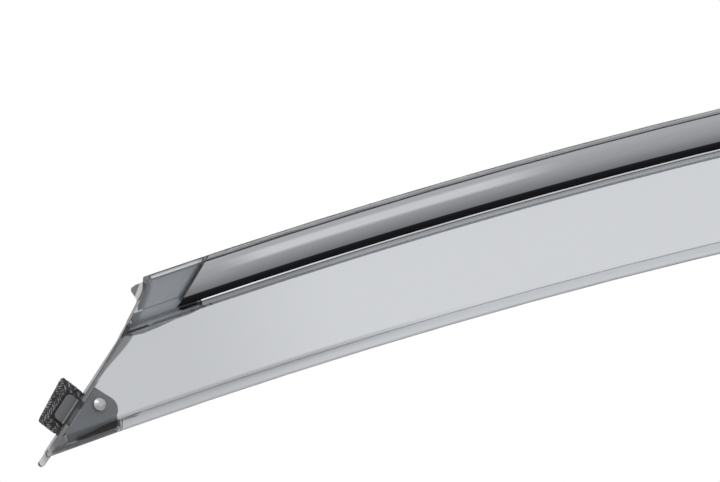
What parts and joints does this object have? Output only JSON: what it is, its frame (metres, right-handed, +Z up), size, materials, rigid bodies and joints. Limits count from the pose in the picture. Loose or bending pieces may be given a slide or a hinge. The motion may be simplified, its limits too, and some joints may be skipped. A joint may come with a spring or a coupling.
{
  "type": "window rain deflector",
  "caption": "Smoked visor for a car's rear side window, with a bright trim strip, taped flange, curled lower lip and a riveted end clip with a sponge pad.",
  "frame": {"origin": "middle of the outer face of the mounting tape's release film, on the arch along the middle of the tape", "axes": "+X along the chord towards the front of the car, +Y into the door (the outer face looks to -Y), +Z up, square to the chord"},
  "size_m": [0.7698, 0.0119, 0.0952],
  "materials": {
    "smoked_acrylic": "gloss, see-through smoke",
    "stainless_trim": "satin bright",
    "grey_foam": "matte",
    "release_film": "gloss",
    "grey_metal": "satin",
    "sponge": "matte, textured",
    "rivet_metal": "satin"
  },
  "bodies": {
    "root": {"visor_shell": "smoked_acrylic", "trim_strip": "stainless_trim", "trim_tape": "grey_foam", "mounting_tape": "grey_foam", "rear_tape": "grey_foam", "tape_liner": "release_film", "end_clip": "grey_metal", "clip_pad": "sponge", "clip_rivet": "rivet_metal"}
  },
  "joints": []
}
